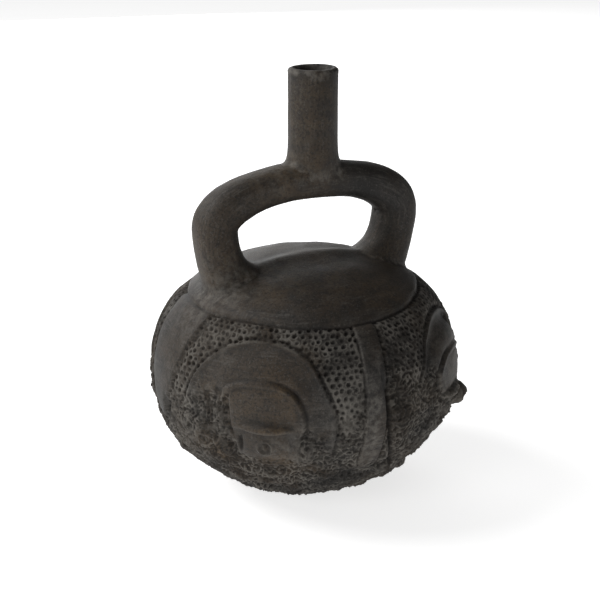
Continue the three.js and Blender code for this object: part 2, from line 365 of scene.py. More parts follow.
def plain_relief(turn, z):
    """How far a place belongs to the plain areas round the panels, and its cut lines."""
    shoulder = soft_step((z - groove_height(turn)) * 1.3, 1.2 * MM)
    strip = soft_step(inside_strip(turn, z), 1.6 * MM)
    band = soft_step(inside_band(turn, z), 1.3 * MM)
    below = z < groove_height(turn)
    cuts = -1.2 * MM * bell(z - groove_height(turn), 0.75 * MM)
    cuts -= 0.9 * MM * bell(inside_strip(turn, z) + 2.2 * MM, 1.8 * MM) * below
    cuts -= 0.5 * MM * bell(inside_band(turn, z) + 0.7 * MM, 0.6 * MM) * below
    return np.maximum(np.maximum(shoulder, strip), band), cuts


# %% Deep groove beside each band
SLIT_DEPTH = 2.9 * MM
SLIT_Z = np.array([25, 36, 48, 57, 67, 74, 80]) * MM
SLIT_U = np.array([13.5, 9.5, 6, 4.6, 3, 1.4, -0.3]) * MM


def slit_relief(turn, z):
    """The tapering groove drifts away from the band towards the foot of the vessel."""
    middle = np.interp(z, SLIT_Z, SLIT_U)
    strength = np.interp(z, np.array([22, 34, 46, 62, 74, 84]) * MM, [0, 0.5, 1, 1, 0.5, 0])
    cut = np.zeros_like(z)
    for facing in (FRONT, BACK):
        cut = np.maximum(cut, bell(across(turn, z, facing) - middle, 1.25 * MM))
    return -SLIT_DEPTH * strength * cut


# %% [markdown]
# ### Head-dresses
#
# Every panel has a broad disc with a raised rim, cut off flat below, and a smaller half
# disc on it. Distances from two centres are enough to draw them. The dish between the two
# is deeper on the right front panel.

# %% Discs of the head-dresses
DISC_Z = 55.5 * MM
DISC_RADIUS = 38 * MM
DISC_FOOT_Z = 41 * MM
CAP_U = 1.5 * MM
CAP_Z = 55 * MM
CAP_RADIUS = 22 * MM
CAP_SHARE = np.array([0.55, 0.25, 0.6, 0.6])
DISH_DEPTH = np.array([0.6, 2.3, 0.8, 0.8]) * MM
DISH_RADIUS = np.array([31, 34.5, 31, 31]) * MM


def head_dress_relief(panel, u, z):
    out = np.hypot(u, z - DISC_Z)
    narrow = 2.4 * MM * soft_step(u - 26 * MM, 10 * MM)
    out = out + narrow
    cap_out = (np.abs(u - CAP_U + 0.7 * MM) ** 2.6 + np.abs(z - CAP_Z) ** 2.6) ** (1 / 2.6)
    disc = soft_step(np.minimum(DISC_RADIUS - out, z - DISC_FOOT_Z), 1.2 * MM)
    cap = soft_step(np.minimum(CAP_RADIUS - cap_out, z - CAP_Z), 2.4 * MM)
    upper = soft_step(z - DISC_FOOT_Z, 6 * MM)
    rise = soft_step(z - CAP_Z, 3 * MM)
    right = soft_step(u - CAP_U - 6 * MM, 8 * MM)
    height = cap * (CAP_RAISE - PLAIN_RAISE) * CAP_SHARE[panel]
    height += 0.55 * MM * bell(out - 37.3 * MM, 0.75 * MM) * upper
    height -= 0.7 * MM * bell(out - 39.2 * MM, 0.6 * MM) * upper
    height -= DISH_DEPTH[panel] * bell(out - DISH_RADIUS[panel], 4.5 * MM) * upper
    height += 0.5 * MM * bell(cap_out - 21.2 * MM, 0.9 * MM) * rise
    height -= 0.35 * MM * bell(cap_out - 19.3 * MM, 0.8 * MM) * rise * (1 - right)
    height -= 1.1 * MM * bell(cap_out - 23 * MM, 0.8 * MM) * (0.25 + 0.75 * right) * rise
    return disc, cap, height


# %% [markdown]
# ### The worn figures
#
# Below each head-dress is a low face with a brow and a collar, so worn that only soft
# lumps are left. A lump is a paraboloid with its place on the panel and its reach across,
# up and outwards, the way a sculptor would press on small pellets of clay.

# %% Lumps of the figures
ALL_PANELS = (FRONT_LEFT, FRONT_RIGHT, BACK_RIGHT, BACK_LEFT)
FRONT_PANELS = (FRONT_LEFT, FRONT_RIGHT)
LUMPS = [
    (ALL_PANELS, (4.5, 46), (12, 13, 1.7)),
    (ALL_PANELS, (4.8, 56.2), (12.8, 2.3, 2.6)),
    (FRONT_PANELS, (-17, 41), (6.5, 6, 1.8)),
    (FRONT_PANELS, (-28, 45), (5.5, 8, 1.8)),
    (FRONT_PANELS, (-24, 33), (8, 5, 1.8)),
    (FRONT_PANELS, (20.5, 42), (5.5, 8, 1.8)),
    (FRONT_PANELS, (13.5, 18.5), (3.6, 3, 1.9)),
    (FRONT_PANELS, (19.5, 20.5), (3, 2.6, 1.7)),
    (FRONT_PANELS, (-3, 14), (7, 5, 1.6)),
    (FRONT_PANELS, (12, 12.5), (9, 4.5, 1.8)),
    ((FRONT_RIGHT,), (-11.5, 48), (7, 6.5, 7.0)),
    ((FRONT_RIGHT,), (38.5, 28), (3.6, 3.4, 3.6)),
    ((BACK_LEFT,), (-28, 25), (17, 15, 2.4)),
]
HOLLOWS = [
    (FRONT_PANELS, (-6.9, 48), (1.3, 5, 2.0)),
    (FRONT_PANELS, (-23.5, 67), (4.5, 3.6, 1.7)),
    (FRONT_PANELS, (-19, 70.5), (3.2, 3, 1.4)),
    (FRONT_PANELS, (-27, 44), (4.4, 4.2, 2.4)),
    (FRONT_PANELS, (-21.5, 40), (3.4, 3, 1.8)),
    (FRONT_PANELS, (3, 15.8), (3.6, 2.6, 3.2)),
    ((FRONT_LEFT,), (-51.5, 53), (1.8, 6, 1.8)),
]
ROLLS = [
    ([[-19, 31], [-8, 30.6], [3, 29.3], [13, 30.8], [22, 32.5]], 2.3, [-2.3, -0.9, -0.7, -0.9, -2.3]),
    ([[-23, 26], [-14, 23.5], [2, 21.5], [14, 24.5], [24, 30]], 2.6, [-2.6, -1.1, -0.8, -1.1, -2.6]),
]
ROLL_SHARE = np.array([1.0, 0.3, 0.8, 0.8])


def pressed(panel, u, z, pellets, power):
    """Sum of pellets of clay, or of thumb marks, on the panels they belong to."""
    height = np.zeros_like(z)
    for panels, place, reach in pellets:
        place_u, place_z = np.array(place) * MM
        wide, tall, out = np.array(reach) * MM
        sideways = (u - place_u) / wide
        upwards = (slope_length(z) - slope_length(place_z)) / tall
        bulge = np.clip(1 - sideways ** 2 - upwards ** 2, 0, None)
        height += out * bulge ** power * np.isin(panel, panels)
    return height


def roll_relief(panel, u, z, places, radius, lifts):
    """A roll of clay along a curve: high where the curve is near, sinking at its ends."""
    places = np.array(places) * MM
    middle_z = np.interp(u, places[:, 0], places[:, 1])
    lift = np.interp(u, places[:, 0], np.array(lifts) * MM, left=-1, right=-1)
    distance = slope_length(z) - slope_length(middle_z)
    roll = np.sqrt(np.clip((radius * MM) ** 2 - distance ** 2, 0, None)) + lift
    return np.clip(roll, 0, None) * ROLL_SHARE[panel]


def boss_relief(panel, u, z):
    """A round boss in a ring, on the cheek of each figure."""
    upwards = slope_length(z) - slope_length(47.5 * MM)
    out = np.hypot(u - 4.9 * MM, upwards)
    ring = 0.9 * bell(out - 3.4 * MM, 0.7 * MM) - 0.6 * bell(out - 2.1 * MM, 0.7 * MM)
    return (ring + 0.8 * bell(out, 1.1 * MM)) * MM


def figure_relief(panel, u, z):
    height = pressed(panel, u, z, LUMPS, 0.7) - pressed(panel, u, z, HOLLOWS, 1.0)
    for places, radius, lifts in ROLLS:
        height += roll_relief(panel, u, z, places, radius, lifts)
    return height + boss_relief(panel, u, z)


# %% [markdown]
# ### The stippled ground
#
# The ground of the panels was pricked with a reed tip in staggered rows, and the mould
# turned the pricks into a net of low ridges round small pits. The pattern is a distance to
# the nearest point of a staggered grid, and each point is moved a little by its own
# repeatable number, because a hand doesn't keep perfect rows.

# %% Pits in staggered rows
PIT_PITCH = 3.4 * MM
PIT_RADIUS = 0.8 * MM
PIT_DEPTH = 0.8 * MM


def scatter(row, column, salt):
    """A repeatable number from -0.5 to 0.5 for a place in the grid."""
    return (np.sin(12.9898 * column + 78.233 * row + salt) * 43758.5453) % 1 - 0.5


def stipple(along, upwards):
    """Distance to the nearest pit, in pitches, and that pit's own number."""
    row_step = 0.866 * PIT_PITCH
    first_row = np.floor(upwards / row_step)
    nearest = np.full_like(along, 9.0)
    number = np.zeros_like(along)
    for row in (first_row - 1, first_row, first_row + 1, first_row + 2):
        shift = 0.5 * (row % 2)
        near_column = np.round(along / PIT_PITCH - shift)
        for column in (near_column - 1, near_column, near_column + 1):
            pit_x = (column + shift + 0.38 * scatter(row, column, 1)) * PIT_PITCH
            pit_y = (row + 0.38 * scatter(row, column, 5)) * row_step
            distance = np.hypot(along - pit_x, upwards - pit_y) / PIT_PITCH
            number = np.where(distance < nearest, scatter(row, column, 9), number)
            nearest = np.minimum(nearest, distance)
    return nearest, number


def stipple_relief(along, upwards):
    """Round pits with steep sides in a nearly flat ground, each with a low rim."""
    distance, number = stipple(along, upwards)
    edge = distance * PIT_PITCH - PIT_RADIUS * (1 + 0.3 * number)
    pit = 1 - soft_step(edge, 0.8 * MM)
    rim = bell(edge - 0.55 * MM, 0.4 * MM)
    return 0.45 * MM + 0.22 * MM * rim - PIT_DEPTH * (1 + 0.7 * number) * pit


# %% [markdown]
# ### Wear and the whole height map
#
# Low on the body the net has run together into worm-like ridges and crusts. Lines where a
# smooth noise passes through zero look just like that. Everything is then added up and the
# surface is moved outwards by the sum.

# %% All the relief together
def eroded_relief(places):
    """Worm-like ridges and small crusts."""
    fine = clay_noise(places, 2.3 * MM, 3)
    middle = clay_noise(places, 4.6 * MM, 5)
    broad = clay_noise(places, 8 * MM, 4)
    ridges = bell(fine, 0.17)
    crust = np.clip(middle, 0, None)
    worms = (0.8 * ridges - 0.35 + 1.2 * crust) * MM
    return worms + 0.9 * MM * broad + 0.7 * MM * np.clip(fine, -1, 0)


PANEL_WEAR_Z = np.array([2, 24, 4, 4]) * MM


def wear_share(panel, u, z, wander):
    """Where the relief is eroded: low down, and higher on the outer side of each figure."""
    top = np.interp(u, np.array([-50, -30, -13, -8, 17, 22, 34, 50]) * MM,
                    np.array([62, 66, 66, 34, 34, 54, 46, 60]) * MM)
    return soft_step(top + PANEL_WEAR_Z[panel] - z + 6 * MM * wander, 10 * MM)


def crest_relief(x, y, z):
    """The soft seam of the two halves of the mould, left on top between the legs."""
    on_top = soft_step(z - 106 * MM, 8 * MM) * soft_step(31 * MM - np.abs(x), 12 * MM)
    crest = 1.1 * bell(y + 2.5 * MM, 5 * MM) - 0.5 * bell(y + 15 * MM, 8 * MM)
    return crest * MM * on_top


def body_relief(places):
    """Height over the panel ground, and the shares that are plain and worn."""
    x, y, z = places.T
    turn = np.degrees(np.arctan2(x, -y))
    panel, u, along = panel_place(turn, z)
    plain, cuts = plain_relief(turn, z)
    disc, cap, carving = head_dress_relief(panel, u, z)
    wander = clay_noise(places, 11 * MM, 1)
    below = soft_step(groove_height(turn) - 1.2 * MM - z, 1 * MM)
    worn = wear_share(panel, u, z, wander) * below * (1 - plain)
    plain = np.maximum(plain, disc * (1 - worn))
    pits = stipple_relief(along + 0.8 * MM * wander, slope_length(z) + 0.9 * MM * wander)
    pits = pits * (0.62 + 0.38 * soft_step(clay_noise(places, 9 * MM, 8) + 0.1, 0.5))
    ground = pits * (1 - 0.75 * worn) + eroded_relief(places) * worn
    height = plain * PLAIN_RAISE + (1 - plain) * ground + cuts
    height += carving * below * (1 - 0.6 * worn) + slit_relief(turn, z)
    height += figure_relief(panel, u, z) * below + crest_relief(x, y, z)
    height += 0.3 * MM * wander + 0.1 * MM * clay_noise(places, 4 * MM, 2)
    return height * soft_step(z - 3 * MM, 5 * MM), plain, worn


# %% Move the body's surface
def outward(places):
    """Direction straight out of the plain body at each place."""
    z = places[:, 2]
    turn = np.arctan2(places[:, 0], -places[:, 1])
    reach = 0.05 * MM
    slope = (surface_radius(z + reach) - surface_radius(z - reach)) / (2 * reach)
    ahead = 1 / np.hypot(1, slope)
    return np.stack([np.sin(turn) * ahead, -np.cos(turn) * ahead, -slope * ahead], axis=1)


ground_places = places_of(body.data)
relief, _, _ = body_relief(ground_places)
raised = ground_places + outward(ground_places) * relief[:, None]
raised[:, 2] = np.clip(raised[:, 2], 0, None)
move_to(body.data, raised)
print("relief from", relief.min(), "to", relief.max())

# %% [markdown]
# ## The stirrup
#
# A rolled tube of clay was bent over a form and set on the shoulder. It starts as a closed
# bar with many rings, and each ring is then carried to its place on the curve. The tube is
# slightly square because it was pared smooth, and it spreads where it meets the body.

# %% Middle line of the stirrup
def stirrup_line(foot_z):
    """Points along the middle of the stirrup, with the share of its length at each."""
    leg_z = np.linspace(foot_z, SHOULDER_Z, 200)[:-1]
    leg_x = np.sqrt(1 - ((SHOULDER_Z - leg_z) / LEG_DROP) ** 2)
    angle = np.linspace(0, math.pi / 2, 400)
    arch_x = np.cos(angle).clip(0) ** (2 / ARCH_POWER)
    arch_z = SHOULDER_Z + ARCH_RISE * np.sin(angle) ** (2 / ARCH_POWER)
    half_x = STIRRUP_HALF_SPAN * np.concatenate([leg_x, arch_x])
    half_z = np.concatenate([leg_z, arch_z])
    x = np.concatenate([-half_x, half_x[::-1][1:]])
    z = np.concatenate([half_z, half_z[::-1][1:]])
    length = np.concatenate([[0], np.cumsum(np.hypot(np.diff(x), np.diff(z)))])
    return x, z, length / length[-1]


def foot_flare(z):
    return FOOT_FLARE * np.exp(-np.maximum(z - FOOT_Z - 3 * MM, 0) / FOOT_FADE)


def radius_in_plane(x, z):
    leg_share = soft_step(np.abs(x) - 33 * MM, 26 * MM)
    return ARCH_RADIUS + (LEG_RADIUS - ARCH_RADIUS) * leg_share + foot_flare(z)


def radius_across(x, z):
    crown_share = 1 - soft_step(np.abs(x - SPOUT_X) - 14 * MM, 16 * MM)
    return TUBE_DEPTH + foot_flare(z) + 0.9 * MM * crown_share * (z > SHOULDER_Z)


# %% Bend a bar round the line
def bent_bar(name, foot_z, rings, sides, in_plane, across_plane, squareness):
    bm = bmesh.new()
    bmesh.ops.create_cone(
        bm, cap_ends=True, segments=sides, radius1=1, radius2=1, depth=1,
    )
    upright = [edge for edge in bm.edges if abs(edge.verts[0].co.z - edge.verts[1].co.z) > 0.5]
    bmesh.ops.subdivide_edges(bm, edges=upright, cuts=rings, use_grid_fill=True)
    bar = object_from(bm, name)
    places = places_of(bar.data)
    share = places[:, 2] + 0.5
    angle = np.arctan2(places[:, 1], places[:, 0])
    line_x, line_z, line_share = stirrup_line(foot_z)
    x = np.interp(share, line_share, line_x)
    z = np.interp(share, line_share, line_z)
    ahead_x = np.interp(share, line_share, np.gradient(line_x))
    ahead_z = np.interp(share, line_share, np.gradient(line_z))
    ahead = np.hypot(ahead_x, ahead_z)
    section = 1 - squareness * np.cos(4 * angle)
    out = section * np.cos(angle) * in_plane(x, z)
    side = section * np.sin(angle) * across_plane(x, z)
    bent = np.stack([x - out * ahead_z / ahead, side, z + out * ahead_x / ahead], axis=1)
    move_to(bar.data, bent)
    return bar


def closed_outwards(piece):
    """Turns the faces of a closed piece to point out of it."""
    bm = bmesh.new()
    bm.from_mesh(piece.data)
    bmesh.ops.recalc_face_normals(bm, faces=bm.faces)
    bm.to_mesh(piece.data)
    bm.free()


def hand_shaped(piece, amount):
    """Adds the slight unevenness of a shape that was pared and smoothed by hand."""
    places = places_of(piece.data)
    broad = clay_noise(places, 17 * MM, 6)
    fine = clay_noise(places, 5 * MM, 7)
    push = amount * (broad + 0.25 * fine)
    move_to(piece.data, places + normals_of(piece.data) * push[:, None])


stirrup = bent_bar("stirrup", LINE_FOOT_Z, 210, 72, radius_in_plane, radius_across, 0.04)
closed_outwards(stirrup)
hand_shaped(stirrup, 0.45 * MM)
print("faces of the stirrup:", len(stirrup.data.polygons))

# %% [markdown]
# ## The spout
#
# The spout is a straight tube, so its outline is spun. Its foot spreads along the stirrup
# but not across it, so points beyond the tube's radius are drawn back in that direction.

# %% Spin the spout
def spun(name, outline, steps, shift_x):
    bm = bmesh.new()
    chain = [bm.verts.new((r, 0, z)) for r, z in outline]
    edges = [bm.edges.new(pair) for pair in zip(chain, chain[1:])]
    bmesh.ops.spin(
        bm, geom=chain + edges, cent=(0, 0, 0), axis=(0, 0, 1),
        angle=2 * math.pi, steps=steps, use_merge=True,
    )
    bmesh.ops.remove_doubles(bm, verts=bm.verts, dist=1e-6)
    bmesh.ops.recalc_face_normals(bm, faces=bm.faces)
    bmesh.ops.translate(bm, verts=bm.verts, vec=(shift_x, 0, 0))
    return object_from(bm, name)


spread_z = ARCH_TOP_Z + ARCH_RADIUS - 0.5 * MM
spout_outline = [
    (0, ARCH_TOP_Z - 4 * MM),
    (9 * MM, ARCH_TOP_Z - 3 * MM),
    (SPOUT_RADIUS - 0.5 * MM, ARCH_TOP_Z + 1 * MM),
    (SPOUT_RADIUS + SPOUT_FLARE, ARCH_TOP_Z + 5.5 * MM),
]
for rise in np.concatenate([np.linspace(0, 8, 13), np.linspace(9, 42, 34)]) * MM:
    flare = SPOUT_FLARE * math.exp(-rise / SPOUT_FADE)
    spout_outline.append((SPOUT_RADIUS + flare, spread_z + rise))
for angle in np.linspace(0, math.pi / 2, 7):
    lip_r = SPOUT_RADIUS + 0.2 * MM - LIP_ROUND * (1 - math.cos(angle))
    spout_outline.append((lip_r, SPOUT_TOP - LIP_ROUND * (1 - math.sin(angle))))
for share in (0.75, 0.5, 0.25, 0):
    spout_outline.append((share * (SPOUT_RADIUS - LIP_ROUND), SPOUT_TOP))

spout = spun("spout", spout_outline, 84, 0)
spout_places = places_of(spout.data)
spout_reach = np.hypot(spout_places[:, 0], spout_places[:, 1])
spout_places[:, 1] *= np.minimum(SPOUT_RADIUS / np.maximum(spout_reach, MM), 1)
spout_places[:, 0] += SPOUT_X
move_to(spout.data, spout_places)
closed_outwards(spout)
hand_shaped(spout, 0.3 * MM)
print("faces of the spout:", len(spout.data.polygons))

# %% [markdown]
# ## One fired piece
#
# The body, the stirrup and the spout were joined wet, so they become one mesh. A Boolean
# union keeps both surfaces exactly and removes what is hidden inside. The sharp crease it
# leaves is then smoothed, as a finger and a little slip would do it.

# %% Join the outside
combine(body, (stirrup, spout), "UNION")
print("triangles of the joined outside:", triangles_of(body.data))

# %% Smooth the joints
def nearest_on_line(places, line_x, line_z):
    """Distance from each place to the middle line of the stirrup, and the nearest point."""
    steps = np.arange(0, len(line_x), 12)
    distances = np.array([
        np.hypot(np.hypot(places[:, 0] - line_x[i], places[:, 2] - line_z[i]), places[:, 1])
        for i in steps
    ])
    return distances.min(axis=0), steps[distances.argmin(axis=0)]


def joint_share(places):
    """1 on the joints of stirrup, body and spout, fading to 0 a few millimetres away."""
    x, y, z = places.T
    r = np.hypot(x, y)
    line_x, line_z, _ = stirrup_line(LINE_FOOT_Z)
    radius = np.where(z > SHOULDER_Z, ARCH_RADIUS, LEG_RADIUS + foot_flare(z))
    off_tube = np.abs(nearest_on_line(places, line_x, line_z)[0] - radius)
    crown_power, side_power = DOME_POWERS
    round_share = 1 - np.minimum(r / BODY_RADIUS, 1) ** side_power
    dome_z = WIDEST_Z + DOME_RISE * round_share ** (1 / crown_power)
    off_side = np.where(z > CROWN_Z + 2 * MM, 1.0, np.abs(r - surface_radius(z)))
    off_body = np.minimum(off_side, np.abs(z - dome_z))
    off_spout = np.abs(np.hypot(x - SPOUT_X, y) - SPOUT_RADIUS) + (z < ARCH_TOP_Z) * 1.0
    foot = np.maximum(off_tube, off_body)
    neck = np.maximum(off_tube, off_spout)
    return 1 - soft_step(np.minimum(foot, neck) - 3.5 * MM, 3 * MM)


def smooth_joints(piece, rounds):
    bm = bmesh.new()
    bm.from_mesh(piece.data)
    share = joint_share(places_of(piece.data))
    bm.verts.ensure_lookup_table()
    for limit in (0.05, 0.5, 0.9):
        near = [bm.verts[i] for i in np.flatnonzero(share > limit)]
        for _ in range(rounds):
            bmesh.ops.smooth_vert(
                bm, verts=near, factor=0.5, use_axis_x=True, use_axis_y=True, use_axis_z=True,
            )
    bm.to_mesh(piece.data)
    bm.free()
    return len(near)


print("vertices smoothed at the joints:", smooth_joints(body, 8))

# %% [markdown]
# ## The hollow inside
#
# The vessel is a bottle: the body is empty, a passage runs through each leg, and both meet
# under the spout. The inside is joined into one solid and taken away from the outside.

# %% Make the inside
cavity_angles = np.linspace(-math.pi / 2, math.pi / 2, 40)
cavity_outline = [(0, FLOOR)]
for angle in cavity_angles:
    above = angle > 0
    reach = DOME_RISE - WALL if above else WIDEST_Z - FLOOR + 2.5 * MM
    up_power, out_power = DOME_POWERS if above else BOWL_POWERS
    z = WIDEST_Z + math.copysign(reach * abs(math.sin(angle)) ** (2 / up_power), angle)
    r = (BODY_RADIUS - WALL) * math.cos(angle) ** (2 / out_power)
    if z > FLOOR and r > MM:
        cavity_outline.append((r, z))
cavity_outline.append((0, CROWN_Z - WALL))
cavity = spun("cavity", cavity_outline, 72, 0)

bore_outline = [
    (0, ARCH_TOP_Z),
    (BORE_RADIUS - 2 * MM, ARCH_TOP_Z),
    (BORE_RADIUS, ARCH_TOP_Z + 8 * MM),
    (BORE_RADIUS, SPOUT_TOP - 6 * MM),
    (BORE_RADIUS + 0.15 * MM, SPOUT_TOP - 3 * MM),
    (BORE_RADIUS + 0.5 * MM, SPOUT_TOP - 1.4 * MM),
    (BORE_RADIUS + 1.5 * MM, SPOUT_TOP - 0.2 * MM),
    (BORE_RADIUS + 2 * MM, SPOUT_TOP + 1 * MM),
    (0, SPOUT_TOP + 1 * MM),
]
bore = spun("bore", bore_outline, 56, SPOUT_X)


def passage_radius(x, z):
    return np.full_like(x, PASSAGE_RADIUS)


passage = bent_bar("passage", FOOT_Z - 16 * MM, 60, 24, passage_radius, passage_radius, 0)
closed_outwards(passage)
combine(cavity, (passage, bore), "UNION")
print("triangles of the inside:", triangles_of(cavity.data))

# %% Empty the vessel
combine(body, (cavity,), "DIFFERENCE")
print("triangles of the hollow vessel:", triangles_of(body.data))

# %% [markdown]
# ## Fewer triangles where nothing shows
#
# The even grid has far more faces than its smooth parts need. The Decimate modifier takes
# away the ones whose loss changes the surface least, so the relief keeps the most.

# %% Thin out the mesh
TRIANGLE_LIMIT = 190000
thin = body.modifiers.new("thin", "DECIMATE")
thin.ratio = TRIANGLE_LIMIT / triangles_of(body.data)
apply_modifiers(body)
print("triangles of the finished vessel:", triangles_of(body.data))

# %% [markdown]
# ## Marks for the finish
#
# The finish needs to know where the surface is stippled, where it stands proud, where dust
# has settled, and where shade and light are painted. Each is measured on the mesh and kept as a
# colour attribute, which any material can read. The clay also leaned a little towards +X as it
# dried, and that comes last, so that all the measuring above is done on the upright shape.

# %% Measure ridges and hollows
def neighbour_mean(values, pairs, counts):
    total = np.zeros_like(values)
    np.add.at(total, pairs[:, 0], values[pairs[:, 1]])
    np.add.at(total, pairs[:, 1], values[pairs[:, 0]])
    return total / counts[:, None]


def edge_pairs(mesh):
    pairs = np.empty(len(mesh.edges) * 2, dtype=np.int32)
    mesh.edges.foreach_get("vertices", pairs)
    return pairs.reshape(-1, 2)


def standing(mesh, rounds):
    """How far each vertex stands out from the smoothed surface round it."""
    pairs = edge_pairs(mesh)
    counts = np.bincount(pairs.ravel(), minlength=len(mesh.vertices)).clip(1)
    places = places_of(mesh)
    smooth = places
    for _ in range(rounds):
        smooth = neighbour_mean(smooth, pairs, counts)
    return np.sum((places - smooth) * normals_of(mesh), axis=1)


final_places = places_of(body.data)
fine_standing = standing(body.data, 2)
print("fine relief:", fine_standing.min(), fine_standing.max())

# %% Keep the marks as colour attributes
def add_marks(mesh, name, red, green, blue):
    marks = mesh.color_attributes.new(name, "FLOAT_COLOR", "POINT")
    values = np.ones((len(mesh.vertices), 4))
    values[:, 0], values[:, 1], values[:, 2] = red, green, blue
    marks.data.foreach_set("color", values.ravel())


# %% Where each place is on the vessel
def tube_frame(places):
    """Share that is on the stirrup, and place in a frame that follows the stirrup."""
    line_x, line_z, share = stirrup_line(LINE_FOOT_Z)
    distance, nearest = nearest_on_line(places, line_x, line_z)
    ahead = np.stack([np.gradient(line_x), np.gradient(line_z)], axis=1)
    ahead /= np.linalg.norm(ahead, axis=1)[:, None]
    away_x = places[:, 0] - line_x[nearest]
    away_z = places[:, 2] - line_z[nearest]
    out = ahead[nearest, 0] * away_z - ahead[nearest, 1] * away_x
    on_tube = distance < 1.25 * LEG_RADIUS + foot_flare(places[:, 2])
    above_body = np.hypot(places[:, 0], places[:, 1]) > surface_radius(places[:, 2] - 2.5 * MM)
    on_tube &= above_body | (places[:, 2] > CROWN_Z)
    return on_tube, np.stack([out, places[:, 1], 0.24 * share[nearest]], axis=1)


def stroke_places(places):
    """Coordinates squeezed along the direction in which each part was burnished."""
    on_tube, tube_places = tube_frame(places)
    on_spout = places[:, 2] > ARCH_TOP_Z + 8 * MM
    squeezed = places * [0.09, 0.09, 1]
    squeezed[on_tube] = tube_places[on_tube] * [1, 1, 0.09]
    squeezed[on_spout] = places[on_spout] * [1, 1, 0.07]
    return squeezed


strokes = stroke_places(final_places)
print("strokes span:", strokes.min(axis=0), strokes.max(axis=0))

# %% [markdown]
# ### Stains, painted shade and painted light
#
# Handling and burial left warm stains and wore the lip pale. Shade and light are painted too:
# dark in the hollows, grooves and sides away from the lamps, pale on the lit sides and bands.
# Each is a soft oval set by its place, reach and strength, on a panel or anywhere on the
# vessel. A painted image would do the same, but numbers are easier to move and keep the
# lesson in one file.

# %% Stains, painted shade and painted light
WARM_SPOTS = [
    (FRONT_LEFT, (6, 57), (14, 3), 0.9),
    (FRONT_LEFT, (12, 74.5), (7, 4), 1.0),
    (FRONT_LEFT, (17.5, 68), (3.5, 7), 0.9),
    (FRONT_LEFT, (3, 67), (17, 12), 0.5),
    (FRONT_LEFT, (4, 82), (12, 6), 0.35),
    (FRONT_LEFT, (13, 40), (9, 5), 0.6),
    (FRONT_LEFT, (20, 33), (10, 4), 0.6),
    (FRONT_LEFT, (-21, 69), (8, 6), 0.5),
    (FRONT_LEFT, (-25, 42), (8, 8), 0.6),
    (FRONT_LEFT, (-18.6, 37.5), (3.5, 2.5), 1.0),
    (FRONT_RIGHT, (33, 62), (7, 8), 0.3),
]
# Painted shade: dark ovals in the hollows and grooves of the front panels.
SHADE_SPOTS = [
    (FRONT_LEFT, (-51.5, 54), (3, 8), 1.0),
    (FRONT_LEFT, (3, 15.5), (5, 4), 1.0),
    (FRONT_LEFT, (-6.9, 48), (2, 6), 0.8),
    (FRONT_LEFT, (18.5, 69), (1.6, 8), 0.8),
    (FRONT_RIGHT, (27, 81), (6, 14), 0.9),
    (FRONT_RIGHT, (12, 76), (10, 6), 0.5),
    (FRONT_RIGHT, (46, 66), (4, 12), 0.5),
]
# Painted light: pale ovals that brighten the front bands, the end strips and parts of the front panels.
PAINTED_LIGHT_SPOTS = [
    (FRONT_LEFT, (40, 58), (9, 20), 0.8),
    (FRONT_LEFT, (-40, 52), (12, 24), 0.8),
    (FRONT_LEFT, (-20, 55), (12, 14), 0.6),
    (FRONT_LEFT, (20, 46), (12, 10), 0.6),
    (FRONT_LEFT, (8, 47), (7, 6), 0.6),
    (FRONT_LEFT, (-25, 88), (12, 10), 0.4),
    (FRONT_RIGHT, (36, 62), (3, 24), 0.5),
    (FRONT_RIGHT, (-12, 50), (40, 34), 0.8),
    (FRONT_LEFT, (52, 50), (9, 40), 0.9),
    (FRONT_RIGHT, (-42, 50), (12, 40), 0.9),
]
# Painted light on the stirrup, the crown and the shoulder, mostly on the left side that faces the lamps.
PAINTED_LIGHT_PLACES = [
    ((-18, -4, 162), 15, 0.5), ((-47, -13, 106), 15, 0.8), ((-60, -8, 98), 16, 0.7),
    ((14, -4, 162), 10, 0.3), ((-30, -16, 110), 12, 0.4), ((-50, 0, 150), 12, 0.25),
]
WARM_PLACES = [
    ((20, -42, 105), 20, 0.5), ((0, -30, 112), 22, 0.3), ((2, -12, 185), 22, 0.5),
    ((-16, -6, 160), 18, 0.6), ((-30, -28, 108), 18, 0.6), ((40, -12, 115), 14, 0.4),
    ((-48, -4, 120), 22, 0.45), ((-4, -6, 168), 20, 0.5), ((-30, -4, 160), 16, 0.35),
]
# Painted shade on the spout, the right leg and the right shoulder, on the sides away from the lamps.
SHADE_PLACES = [
    ((24, -40, 104), 18, 0.5), ((15, -8, 198), 20, 0.9), ((40, 0, 150), 18, 0.35), ((12, -4, 186), 22, 0.6),
]


def spots(panel, u, z, marks):
    """Soft ovals on the panels, given by place, reach and strength."""
    share = np.zeros_like(z)
    for where, place, reach, strength in marks:
        sideways = (u / MM - place[0]) / reach[0]
        upwards = (z / MM - place[1]) / reach[1]
        share = np.maximum(share, strength * (panel == where) * bell(np.hypot(sideways, upwards), 1))
    return share


def patches(places, marks):
    """Soft round patches anywhere on the vessel."""
    share = np.zeros(len(places))
    for place, reach, strength in marks:
        distance = np.linalg.norm(places / MM - place, axis=1)
        share = np.maximum(share, strength * bell(distance, reach))
    return share


x, y, z = final_places.T
turn = np.degrees(np.arctan2(x, -y))
panel, u, _ = panel_place(turn, z)
on_panels = z < groove_height(turn)
warm = np.maximum(spots(panel, u, z, WARM_SPOTS) * on_panels, patches(final_places, WARM_PLACES))
painted_shade = np.maximum(spots(panel, u, z, SHADE_SPOTS) * on_panels, patches(final_places, SHADE_PLACES))
# Painted shade in the deep groove beside each band.
painted_shade = np.maximum(painted_shade, np.clip(-slit_relief(turn, z) / SLIT_DEPTH, 0, 1) * on_panels)
# Painted light from the pale ovals, with the worn pale lip added to it.
light_and_worn_lip = np.maximum(spots(panel, u, z, PAINTED_LIGHT_SPOTS) * on_panels, patches(final_places, PAINTED_LIGHT_PLACES))
lip = soft_step(z - SPOUT_TOP + 2.2 * MM, 1.6 * MM)
light_and_worn_lip = np.maximum(light_and_worn_lip, 0.9 * lip)
print("stained shares:", warm.mean(), painted_shade.mean(), light_and_worn_lip.mean())

